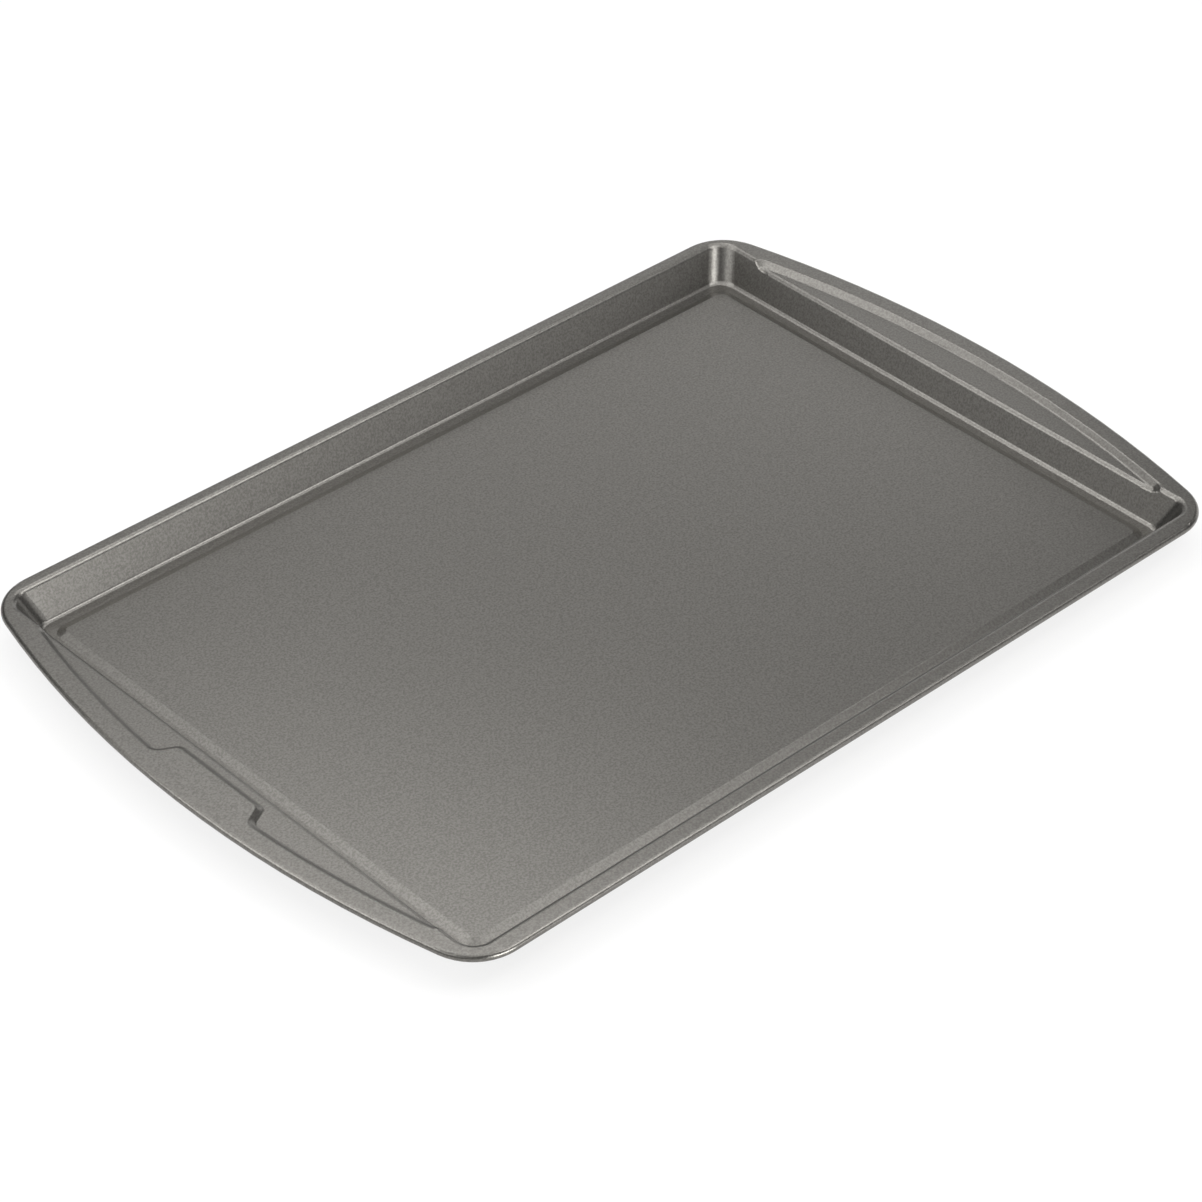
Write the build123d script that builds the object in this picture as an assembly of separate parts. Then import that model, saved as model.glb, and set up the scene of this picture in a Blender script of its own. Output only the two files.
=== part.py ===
from build123d import *
from math import cos, radians, sqrt, tan
import os

os.makedirs("parts", exist_ok=True)

# A jelly roll pan pressed from one steel sheet, with a wire rolled into its edge.
# Millimetres, +Z up. The origin is under the middle of the pan, on the plane it rests on.
# +X runs along the length towards the plain handle. The handle with the pad is at -X.

# Sheet and rolled edge
sheet = 0.7
wire_diameter = 1.9
wire_clearance = 0.02
wire_gap = 1.0
curl_angle = 290
curl_lead = 1.5

# Floor between the rounds of the walls, off the rim's middle by the shift, and the walls
floor_length = 374.4
floor_width = 253.0
floor_shift = 0.9
depth = 14.86
end_draft = 23.0
side_draft = 23.0
wall_foot_round = 2.0
wall_top_round = 2.4
wall_corner = 9.0

# Raised baking surface, its flat top set in from the floor's edge by the gutters
end_gutter = 7.3
side_gutter = 7.8
panel_rise = 1.25
panel_slope = 20
panel_edge_round = 1.2
panel_foot_round = 1.2
panel_corner = 2.5

# Flange and handles: the mean side flange, and each bowed end's rise from corner to peak
side_flange = 5.78
handle_reach = 22.7
bow_rise = 15.2
flange_corner = 22.5

# Recess in each handle, open towards the wall, off the handle's middle by the shift.
# The tips of its foot lie back from where the flat flange begins.
recess_depth = 2.1
recess_slope = 38
recess_edge_round = 1.5
recess_foot_round = 1.5
recess_border = 11.2
recess_shift = -1.5
recess_tip_back = 1.6
recess_tip_inset = 22.3
recess_tip_angle = 40
recess_tip_round = 4.0

# Pad left standing in the recess of one handle
pad_channel = 1.9
pad_half_length = 24.0
pad_end_angle = 26
pad_round = 4.6
pad_root_round = 3.0

# How far cutting solids run past what they cut, and how near counts as touching
overrun = 5.0
touch = 0.01

# Levels of the sheet's upper face
gutter_level = sheet
panel_level = gutter_level + panel_rise
flange_level = gutter_level + depth
recess_level = flange_level - recess_depth

# Flat top of the raised panel
panel_length = floor_length - 2 * end_gutter
panel_width = floor_width - 2 * side_gutter

# Rolled edge, from the sheet and the wire
curl_bore = wire_diameter / 2 + wire_clearance
curl_radius = curl_bore + sheet
curl_level = flange_level - curl_radius


def bend_reach(radius, turn):
    """How far a round of this radius reaches from the sharp corner of a bend."""
    return radius * tan(radians(turn / 2))


def wall_end(level, drop):
    """Half the inside length at a level, between walls set back by the drop."""
    climb = (level - gutter_level) * tan(radians(end_draft))
    foot = floor_length / 2 + bend_reach(wall_foot_round, 90 - end_draft)
    return foot + climb + drop / cos(radians(end_draft))


def wall_side(level, drop):
    """Half the inside width at a level, between walls set back by the drop."""
    climb = (level - gutter_level) * tan(radians(side_draft))
    foot = floor_width / 2 + bend_reach(wall_foot_round, 90 - side_draft)
    return foot + climb + drop / cos(radians(side_draft))


# The flat flange begins here, and the whole pan ends there
flange_end = wall_end(flange_level, 0) + bend_reach(wall_top_round, 90 - end_draft)
flange_side = wall_side(flange_level, 0) + bend_reach(wall_top_round, 90 - side_draft)
half_length = flange_end + handle_reach
half_width = flange_side + side_flange

# The bow of each end, between the middles of its corners
corner_y = half_width - flange_corner
bow_radius = flange_corner + (corner_y**2 + bow_rise**2) / (2 * bow_rise)
bow_middle = half_length - bow_radius


def turned(spot, x_hand, y_hand):
    """The same spot in another quarter of the pan."""
    return Vector(spot.X * x_hand, spot.Y * y_hand)


def rim_path(inset, gap):
    """The pan's outline set in from its widest: straight sides, bowed ends, round corners."""
    corner = flange_corner - inset
    bow = bow_radius - inset
    corner_x = bow_middle + sqrt((bow_radius - flange_corner) ** 2 - corner_y**2)
    outward = Vector(corner_x - bow_middle, corner_y).normalized()
    side = Vector(corner_x, half_width - inset)
    bend = Vector(corner_x, corner_y) + (outward + Vector(0, 1)).normalized() * corner
    meet = Vector(bow_middle, 0) + outward * bow
    peak = Vector(half_length - inset, 0)
    start = Vector(gap / 2, half_width - inset)
    path = [Line(start, side)]
    for x_hand, y_hand in ((1, 1), (-1, -1)):
        first = [turned(spot, x_hand, y_hand) for spot in (side, bend, meet)]
        last = [turned(spot, x_hand, -y_hand) for spot in (meet, bend, side)]
        path.append(ThreePointArc(*first))
        path.append(ThreePointArc(first[-1], turned(peak, x_hand, y_hand), last[0]))
        path.append(ThreePointArc(*last))
        if x_hand > 0:
            path.append(Line(last[-1], turned(side, -1, -1)))
    path.append(Line(turned(side, -1, 1), turned(start, -1, 1)))
    return path


def panel_block(drop):
    """The raised floor panel down to below the gutter, with sloping sides."""
    shift = 2 * bend_reach(panel_edge_round - drop, panel_slope)
    corner = panel_corner - bend_reach(drop, panel_slope)
    top = RectangleRounded(panel_length + shift, panel_width + shift, corner)
    height = panel_rise + overrun
    return extrude(Pos(0, 0, panel_level - drop) * top, height, dir=(0, 0, -1), taper=panel_slope - 90)


def cavity(drop):
    """The room between the walls above the floor and its panel."""
    low = gutter_level - drop
    high = flange_level + overrun
    rooms = []
    for plane, reach in ((Plane.XZ, wall_end), (Plane.YZ, wall_side)):
        foot = reach(low, drop)
        head = reach(high, drop)
        profile = Polyline((-foot, low), (foot, low), (head, high), (-head, high), close=True)
        rooms.append(extrude(plane * make_face(profile), half_length, both=True))
    room = rooms[0] & rooms[1]
    corners = room.edges().filter_by(lambda edge: edge.bounding_box().size.Z > depth)
    room = fillet(corners, wall_corner + drop)
    room = fillet(room.edges().group_by(Axis.Z)[0], wall_foot_round + drop)
    room -= panel_block(drop)
    top = panel_level - drop
    panel_edges = room.edges().filter_by_position(Axis.Z, top - touch, top + touch)
    room = fillet(panel_edges, panel_edge_round - drop)
    inner = room.edges().filter_by_position(Axis.Z, low - touch, low + touch)
    inner = inner.filter_by(lambda edge: edge.bounding_box().max.X < floor_length / 2 - touch)
    return fillet(inner, panel_foot_round + drop)


def recess_outline(pad):
    """The foot of the recess at the +X end, with or without the pad standing in it."""
    peak = half_length - recess_border
    tip_y = wall_side(flange_level, 0) - recess_tip_inset
    rise = peak - flange_end + recess_tip_back
    radius = (tip_y**2 + rise**2) / (2 * rise)

    def on_bow(y):
        return Vector(peak - radius + sqrt(radius**2 - y**2), y)

    tip = on_bow(tip_y)
    inner_x = flange_end - 2 * overrun
    start = Vector(inner_x, tip.Y + (tip.X - inner_x) / tan(radians(recess_tip_angle)))
    rounds = [(tip, recess_tip_round), (turned(tip, 1, -1), recess_tip_round)]
    if pad:
        pad_x = flange_end + pad_channel
        flare = (peak - pad_x) * tan(radians(pad_end_angle))
        heads = [Vector(pad_x, hand * pad_half_length) for hand in (1, -1)]
        roots = [on_bow(hand * (pad_half_length + flare)) for hand in (1, -1)]
        rounds += [(spot, pad_round) for spot in heads]
        rounds += [(spot, pad_root_round) for spot in roots]
        bow = [ThreePointArc(tip, on_bow((tip.Y + roots[0].Y) / 2), roots[0])]
        bow += [Line(roots[0], heads[0]), Line(heads[0], heads[1]), Line(heads[1], roots[1])]
        bow += [ThreePointArc(roots[1], on_bow((roots[1].Y - tip.Y) / 2), turned(tip, 1, -1))]
    else:
        bow = [ThreePointArc(tip, Vector(peak, 0), turned(tip, 1, -1))]
    sides = [Line(start, tip), Line(turned(tip, 1, -1), turned(start, 1, -1))]
    outline = make_face(sides + bow + [Line(start, turned(start, 1, -1))])
    for spot, radius in rounds:
        corner = outline.vertices().sort_by_distance((spot.X, spot.Y, 0))[0]
        outline = fillet(corner, radius)
    return outline


def recess(drop, pad):
    """The hollow pressed into a handle, widening upwards to the flange."""
    foot = recess_outline(pad)
    if drop > 0:
        foot = offset(foot, bend_reach(drop, recess_slope), kind=Kind.INTERSECTION)
    hollow = extrude(Pos(0, 0, recess_level - drop) * foot, recess_depth, taper=recess_slope - 90)
    foot_edges = hollow.edges().group_by(Axis.Z)[0].sort_by(Axis.X)[1:]
    return fillet(foot_edges, recess_foot_round + drop)


def room_above(drop):
    """All the room above the sheet's upper face, when that face is set back by the drop."""
    level = flange_level - drop
    reach = 2 * (half_length + overrun)
    room = Box(reach, reach, 2 * overrun, align=(Align.CENTER, Align.CENTER, Align.MIN))
    room = Pos(0, 0, level) * room
    room += Pos(0, recess_shift, 0) * recess(drop, False)
    room += Pos(0, recess_shift, 0) * mirror(recess(drop, True), about=Plane.YZ)
    room += Pos(0, floor_shift, 0) * cavity(drop)

    def on_wall(spot):
        within_end = abs(spot.X) < wall_end(spot.Z, drop) + touch
        return within_end and abs(spot.Y - floor_shift) < wall_side(spot.Z, drop) + touch

    def in_pan(spot):
        return abs(spot.X) < half_length and abs(spot.Y) < half_width

    edges = room.edges().filter_by_position(Axis.Z, level - touch, level + touch)
    edges = edges.filter_by(lambda edge: in_pan(edge @ 0.5) and not on_wall(edge @ 0.5))
    room = fillet(edges, recess_edge_round - drop)
    edges = room.edges().filter_by(lambda edge: recess_level - drop - touch < (edge @ 0.5).Z < level + touch)
    edges = edges.filter_by(lambda edge: on_wall(edge @ 0.5))
    return fillet(edges, wall_top_round - drop)


def curl():
    """The sheet's edge rolled round the wire, with a short lead of flat flange."""
    plane = Plane((0, half_width - curl_radius, curl_level), x_dir=(0, 1, 0), z_dir=(1, 0, 0))
    stop = 90 - curl_angle
    halfway = 90 - curl_angle / 2

    def around(radius, angle):
        return Vector(radius, 0).rotate(Axis.Z, angle)

    outer = ThreePointArc(around(curl_radius, 90), around(curl_radius, halfway), around(curl_radius, stop))
    inner = ThreePointArc(around(curl_bore, 90), around(curl_bore, halfway), around(curl_bore, stop))
    top = Line(around(curl_radius, 90), (-curl_lead, curl_radius))
    end = Line((-curl_lead, curl_radius), (-curl_lead, curl_bore))
    bottom = Line((-curl_lead, curl_bore), around(curl_bore, 90))
    lip = Line(around(curl_radius, stop), around(curl_bore, stop))
    profile = plane * make_face([outer, inner, top, end, bottom, lip])
    path = Pos(0, 0, curl_level) * Wire(rim_path(curl_radius, 0))
    return sweep(profile, path=path)


def pan_body():
    """The pressed sheet: panel, gutter, walls, flange, handles and rolled edge."""
    trim = make_face(rim_path(curl_radius + curl_lead / 2, 0))
    blank = extrude(Pos(0, 0, -overrun) * trim, flange_level + 2 * overrun)
    pressing = (blank & room_above(sheet)) - room_above(0)
    return pressing + curl()


def rim_wire():
    """The steel wire inside the rolled edge, its ends butted at the middle of the +Y side."""
    path = Pos(0, 0, curl_level) * Wire(rim_path(curl_radius, wire_gap))
    plane = Plane((wire_gap / 2, half_width - curl_radius, curl_level), x_dir=(0, 1, 0), z_dir=(1, 0, 0))
    return sweep(plane * Circle(wire_diameter / 2), path=path)


export_step(pan_body(), "parts/pan_body.step")
export_step(rim_wire(), "parts/rim_wire.step")
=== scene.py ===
"""A jelly roll pan on a white sweep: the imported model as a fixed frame, dressed and lit."""

import logging
from dataclasses import dataclass
from enum import Enum
from math import cos, radians, sin

import bmesh
import bpy
from mathutils import Matrix, Vector

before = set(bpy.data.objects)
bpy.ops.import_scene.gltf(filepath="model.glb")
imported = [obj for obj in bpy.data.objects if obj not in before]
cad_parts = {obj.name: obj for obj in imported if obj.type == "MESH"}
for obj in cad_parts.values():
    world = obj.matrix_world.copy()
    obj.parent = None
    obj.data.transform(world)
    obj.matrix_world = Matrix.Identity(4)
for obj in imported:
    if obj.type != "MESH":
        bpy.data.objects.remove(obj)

LOG = logging.getLogger("jelly_roll_pan")
MM = 0.001
SENSOR_MM = 36.0
WHITE = (1.0, 1.0, 1.0, 1.0)


def linear(hex_colour: str) -> tuple[float, float, float, float]:
    """Turns an sRGB hex colour into linear light.

    Args:
        hex_colour: Six hex digits, such as "5a5955".

    Returns:
        Red, green, blue and an alpha of 1.
    """
    parts = [int(hex_colour[i:i + 2], 16) / 255 for i in (0, 2, 4)]
    lit = [c / 12.92 if c <= 0.04045 else ((c + 0.055) / 1.055) ** 2.4 for c in parts]
    return (lit[0], lit[1], lit[2], 1.0)


def direction(azimuth: float, elevation: float) -> Vector:
    """Gives the way from the pan to something that stands round it.

    Args:
        azimuth: Degrees from the front (-Y) towards +X.
        elevation: Degrees above the floor.

    Returns:
        A vector of length 1.
    """
    turn, lift = radians(azimuth), radians(elevation)
    return Vector((sin(turn) * cos(lift), -cos(turn) * cos(lift), sin(lift)))


def add_node(tree: bpy.types.NodeTree, kind: str, settings: dict | None = None,
             values: dict | None = None, links: dict | None = None) -> bpy.types.Node:
    """Adds one node to a tree.

    Args:
        tree: The tree that gets the node.
        kind: Blender's name for the kind of node.
        settings: Properties to set on the node.
        values: Values of input sockets, by name or number.
        links: Output sockets to link into input sockets, by name or number.

    Returns:
        The new node.
    """
    node = tree.nodes.new(kind)
    for name, value in (settings or {}).items():
        setattr(node, name, value)
    for name, value in (values or {}).items():
        node.inputs[name].default_value = value
    for name, output in (links or {}).items():
        tree.links.new(output, node.inputs[name])
    return node


def new_material(name: str) -> tuple[bpy.types.Material, bpy.types.NodeTree, bpy.types.Node]:
    """Makes an empty node material.

    Args:
        name: The material's name.

    Returns:
        The material, its tree and its output node.
    """
    material = bpy.data.materials.new(name)
    material.use_nodes = True
    tree = material.node_tree
    tree.nodes.clear()
    return material, tree, add_node(tree, "ShaderNodeOutputMaterial")


@dataclass(frozen=True)
class NonstickCoating:
    """Sprayed and baked nonstick coating on pressed steel.

    It gives the eye a dark, slightly warm grey with the soft gloss of a satin metal, because the
    coating is full of metal flakes. The real fleck is finer than a pixel of the render, so it is
    drawn as coarse as it has to be to show.
    """

    name: str = "nonstick_coating"
    colour_dark: str = "686662"
    colour_light: str = "7b7975"
    fleck_mm: float = 0.9
    fleck_detail: float = 2.0
    fleck_grain: float = 0.6
    fleck_edges: tuple[float, float] = (0.36, 0.64)
    metallic: float = 0.9
    roughness: float = 0.3
    bump_mm: float = 0.02

    def make(self) -> bpy.types.Material:
        """Builds the material."""
        material, tree, output = new_material(self.name)
        place = add_node(tree, "ShaderNodeTexCoord").outputs["Object"]
        fleck = add_node(tree, "ShaderNodeTexNoise", values={
            "Scale": 1 / (self.fleck_mm * MM), "Detail": self.fleck_detail,
            "Roughness": self.fleck_grain}, links={"Vector": place})
        dark_edge, light_edge = self.fleck_edges
        share = add_node(tree, "ShaderNodeMapRange", values={
            "From Min": dark_edge, "From Max": light_edge}, links={"Value": fleck.outputs["Fac"]})
        colour = add_node(tree, "ShaderNodeMix", {"data_type": "RGBA"}, links={0: share.outputs[0]})
        colour.inputs["A"].default_value = linear(self.colour_dark)
        colour.inputs["B"].default_value = linear(self.colour_light)
        bump = add_node(tree, "ShaderNodeBump", values={
            "Strength": 1.0, "Distance": self.bump_mm * MM}, links={"Height": fleck.outputs["Fac"]})
        shader = add_node(tree, "ShaderNodeBsdfPrincipled", values={
            "Metallic": self.metallic, "Roughness": self.roughness},
            links={"Base Color": colour.outputs[2], "Normal": bump.outputs[0]})
        tree.links.new(shader.outputs[0], output.inputs["Surface"])
        return material


@dataclass(frozen=True)
class DrawnSteelWire:
    """Plain drawn steel wire: a bare grey metal, finely uneven from the die."""

    name: str = "drawn_steel_wire"
    colour: str = "b4b2ae"
    grain_mm: float = 0.15
    metallic: float = 1.0
    roughness: float = 0.35
    bump_mm: float = 0.01
    bump_strength: float = 0.3

    def make(self) -> bpy.types.Material:
        """Builds the material."""
        material, tree, output = new_material(self.name)
        place = add_node(tree, "ShaderNodeTexCoord").outputs["Object"]
        grain = add_node(tree, "ShaderNodeTexNoise", values={"Scale": 1 / (self.grain_mm * MM)},
                         links={"Vector": place})
        bump = add_node(tree, "ShaderNodeBump", values={
            "Strength": self.bump_strength, "Distance": self.bump_mm * MM},
            links={"Height": grain.outputs["Fac"]})
        shader = add_node(tree, "ShaderNodeBsdfPrincipled", values={
            "Base Color": linear(self.colour), "Metallic": self.metallic,
            "Roughness": self.roughness}, links={"Normal": bump.outputs[0]})
        tree.links.new(shader.outputs[0], output.inputs["Surface"])
        return material


@dataclass(frozen=True)
class Viewpoint:
    """Where the photograph was taken from, and how its frame lies."""

    azimuth: float = -45.0551
    elevation: float = 37.5653
    roll: float = 1.8685
    distance: float = 1.47867
    target: tuple[float, float, float] = (-0.002119, -0.016214, 0.0015)
    focal_px: float = 3758.2
    centre_px: tuple[float, float] = (637.96, 601.79)
    frame_px: float = 1202.0

    def place(self) -> None:
        """Makes the camera and sets it as the scene's own."""
        turn, lean = radians(self.azimuth), radians(self.roll)
        back = direction(self.azimuth, self.elevation)
        level = Vector((cos(turn), sin(turn), 0.0))
        upright = back.cross(level)
        right = level * cos(lean) + upright * sin(lean)
        up = upright * cos(lean) - level * sin(lean)
        data = bpy.data.cameras.new("photo_camera")
        data.sensor_width = SENSOR_MM
        data.lens = self.focal_px / self.frame_px * SENSOR_MM
        middle_px = self.frame_px / 2
        data.shift_x = (middle_px - self.centre_px[0]) / self.frame_px
        data.shift_y = (self.centre_px[1] - middle_px) / self.frame_px
        camera = bpy.data.objects.new("photo_camera", data)
        bpy.context.scene.collection.objects.link(camera)
        spot = Vector(self.target) + back * self.distance
        axes = Matrix((right, up, back)).transposed().to_4x4()
        camera.matrix_world = Matrix.Translation(spot) @ axes
        bpy.context.scene.camera = camera


class LampFace(Enum):
    """The lit faces that the studio's lamps have, wide by high in metres."""

    CANOPY = (2.0, 2.0)
    SOFTBOX = (0.9, 0.75)
    SPOT = (0.4, 0.35)


@dataclass(frozen=True)
class SoftLight:
    """One soft rectangular lamp, placed round the pan by two angles and turned towards it."""

    name: str
    azimuth: float
    elevation: float
    face: LampFace
    watts: float
    distance: float = 1.8

    def place(self) -> None:
        """Makes the lamp. The eye doesn't see it, the pan mirrors it."""
        back = direction(self.azimuth, self.elevation)
        data = bpy.data.lights.new(self.name, "AREA")
        data.shape = "RECTANGLE"
        data.size, data.size_y = self.face.value
        data.energy = self.watts
        lamp = bpy.data.objects.new(self.name, data)
        bpy.context.scene.collection.objects.link(lamp)
        lamp.visible_camera = False
        lamp.location = back * self.distance
        lamp.rotation_mode = "QUATERNION"
        lamp.rotation_quaternion = (-back).to_track_quat("-Z", "Y")


@dataclass
class Studio:
    """The white floor, the lamps and the world round the pan, in metres."""

    floor_size: float = 20.0
    floor_drop: float = 0.0001
    floor_colour: str = "f4f4f3"
    floor_glow: float = 0.8
    shadow_reach: tuple[float, float] = (0.3, 0.9)
    world_strength: float = 0.03
    lamps: tuple[SoftLight, ...] = (
        SoftLight("top_light", 0.0, 89.9, LampFace.CANOPY, 18.5),
        SoftLight("right_high_light", 45.0, 55.0, LampFace.SOFTBOX, 9.3),
        SoftLight("back_high_light", 180.0, 55.0, LampFace.SOFTBOX, 3.5),
        SoftLight("back_left_high_light", 225.0, 55.0, LampFace.SOFTBOX, 3.4),
        SoftLight("back_left_light", 240.0, 33.0, LampFace.SOFTBOX, 8.4),
        SoftLight("left_light", 270.0, 33.0, LampFace.SOFTBOX, 4.9),
        SoftLight("front_left_light", 300.0, 33.0, LampFace.SOFTBOX, 1.3),
        SoftLight("front_low_light", 0.0, 10.0, LampFace.SOFTBOX, 27.5),
        SoftLight("front_right_low_light", 30.0, 10.0, LampFace.SOFTBOX, 2.1),
        SoftLight("right_low_light", 90.0, 10.0, LampFace.SOFTBOX, 2.7),
        SoftLight("right_back_low_light", 120.0, 10.0, LampFace.SOFTBOX, 2.6),
        SoftLight("back_right_low_light", 150.0, 10.0, LampFace.SOFTBOX, 0.9),
        SoftLight("back_low_light", 180.0, 10.0, LampFace.SOFTBOX, 0.6),
        SoftLight("back_left_low_light", 240.0, 10.0, LampFace.SOFTBOX, 1.5),
        SoftLight("far_high_spot", 140.0, 54.0, LampFace.SPOT, 1.8),
        SoftLight("right_high_spot", 110.0, 54.0, LampFace.SPOT, 1.7),
        SoftLight("back_high_spot", 155.0, 47.0, LampFace.SPOT, 0.8),
        SoftLight("right_spot", 125.0, 30.0, LampFace.SPOT, 0.6),
        SoftLight("far_spot", 140.0, 30.0, LampFace.SPOT, 0.6),
        SoftLight("back_spot", 155.0, 30.0, LampFace.SPOT, 0.35),
    )

    def white_to_the_eye(self, tree: bpy.types.NodeTree) -> bpy.types.NodeSocket:
        """Adds a mask that is 1 where a ray comes straight, mirrored or through glass.

        Args:
            tree: The tree that gets the nodes.

        Returns:
            The mask's output socket.
        """
        path = add_node(tree, "ShaderNodeLightPath")
        direct = add_node(tree, "ShaderNodeMath", {"operation": "MAXIMUM"}, links={
            0: path.outputs["Is Camera Ray"], 1: path.outputs["Is Glossy Ray"]})
        either = add_node(tree, "ShaderNodeMath", {"operation": "MAXIMUM"}, links={
            0: direct.outputs[0], 1: path.outputs["Is Transmission Ray"]})
        return either.outputs[0]

    def glow_by_distance(self, tree: bpy.types.NodeTree) -> bpy.types.NodeSocket:
        """Adds the floor's share of glow, which grows to 1 past the reach of the pan's shadow.

        Args:
            tree: The tree that gets the nodes.

        Returns:
            The share's output socket.
        """
        place = add_node(tree, "ShaderNodeTexCoord").outputs["Object"]
        distance = add_node(tree, "ShaderNodeVectorMath", {"operation": "LENGTH"},
                            links={0: place})
        near, far = self.shadow_reach
        share = add_node(tree, "ShaderNodeMapRange", values={
            "From Min": near, "From Max": far, "To Min": self.floor_glow, "To Max": 1.0},
            links={"Value": distance.outputs["Value"]})
        return share.outputs[0]

    def make_sweep(self) -> bpy.types.Material:
        """Builds the floor's white, which is clear from below so that the underside shows."""
        material, tree, output = new_material("white_sweep")
        paper = add_node(tree, "ShaderNodeBsdfDiffuse", values={"Color": linear(self.floor_colour)})
        glow = add_node(tree, "ShaderNodeEmission", values={"Color": WHITE, "Strength": 1.0})
        share = add_node(tree, "ShaderNodeMath", {"operation": "MULTIPLY"}, links={
            0: self.white_to_the_eye(tree), 1: self.glow_by_distance(tree)})
        upper = add_node(tree, "ShaderNodeMixShader", links={
            0: share.outputs[0], 1: paper.outputs[0], 2: glow.outputs[0]})
        lower = add_node(tree, "ShaderNodeBsdfTransparent")
        side = add_node(tree, "ShaderNodeNewGeometry")
        one_sided = add_node(tree, "ShaderNodeMixShader", links={
            0: side.outputs["Backfacing"], 1: upper.outputs[0], 2: lower.outputs[0]})
        tree.links.new(one_sided.outputs[0], output.inputs["Surface"])
        return material

    def lay_floor(self) -> None:
        """Makes the white floor, a hair below the pan so that the two don't flicker."""
        mesh = bpy.data.meshes.new("white_floor")
        work = bmesh.new()
        bmesh.ops.create_grid(work, x_segments=1, y_segments=1, size=self.floor_size / 2)
        bmesh.ops.translate(work, verts=work.verts, vec=(0.0, 0.0, -self.floor_drop))
        work.to_mesh(mesh)
        work.free()
        mesh.materials.append(self.make_sweep())
        floor = bpy.data.objects.new("white_floor", mesh)
        bpy.context.scene.collection.objects.link(floor)

    def light_world(self) -> None:
        """Sets the even light of a dim room, which the eye sees as plain white."""
        world = bpy.data.worlds.new("studio_world")
        bpy.context.scene.world = world
        world.use_nodes = True
        tree = world.node_tree
        tree.nodes.clear()
        path = add_node(tree, "ShaderNodeLightPath")
        strength = add_node(tree, "ShaderNodeMath", {"operation": "MULTIPLY_ADD"}, {
            1: 1.0 - self.world_strength, 2: self.world_strength},
            {0: path.outputs["Is Camera Ray"]})
        room = add_node(tree, "ShaderNodeBackground", values={"Color": WHITE},
                        links={"Strength": strength.outputs[0]})
        add_node(tree, "ShaderNodeOutputWorld", links={"Surface": room.outputs[0]})

    def build(self) -> None:
        """Builds the whole studio."""
        self.lay_floor()
        self.light_world()
        for lamp in self.lamps:
            lamp.place()
        LOG.info("the studio has %d lamps", len(self.lamps))


@dataclass
class BakingPan:
    """The pan's pieces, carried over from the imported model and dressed."""

    body_node: str = "pan_body"
    wire_node: str = "rim_wire"

    def dress(self, node: str, material: bpy.types.Material) -> None:
        """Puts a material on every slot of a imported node.

        Args:
            node: The node's name.
            material: What it is finished in.
        """
        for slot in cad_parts[node].material_slots:
            slot.material = material
        LOG.info("%s is finished in %s", node, material.name)

    def build(self) -> None:
        """Dresses each piece."""
        self.dress(self.body_node, NonstickCoating().make())
        self.dress(self.wire_node, DrawnSteelWire().make())


def main() -> None:
    """Builds the scene."""
    logging.basicConfig(level=logging.INFO, format="%(message)s")
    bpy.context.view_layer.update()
    bpy.context.scene.view_settings.view_transform = "Standard"
    Viewpoint().place()
    Studio().build()
    BakingPan().build()


if __name__ == "__main__":
    main()
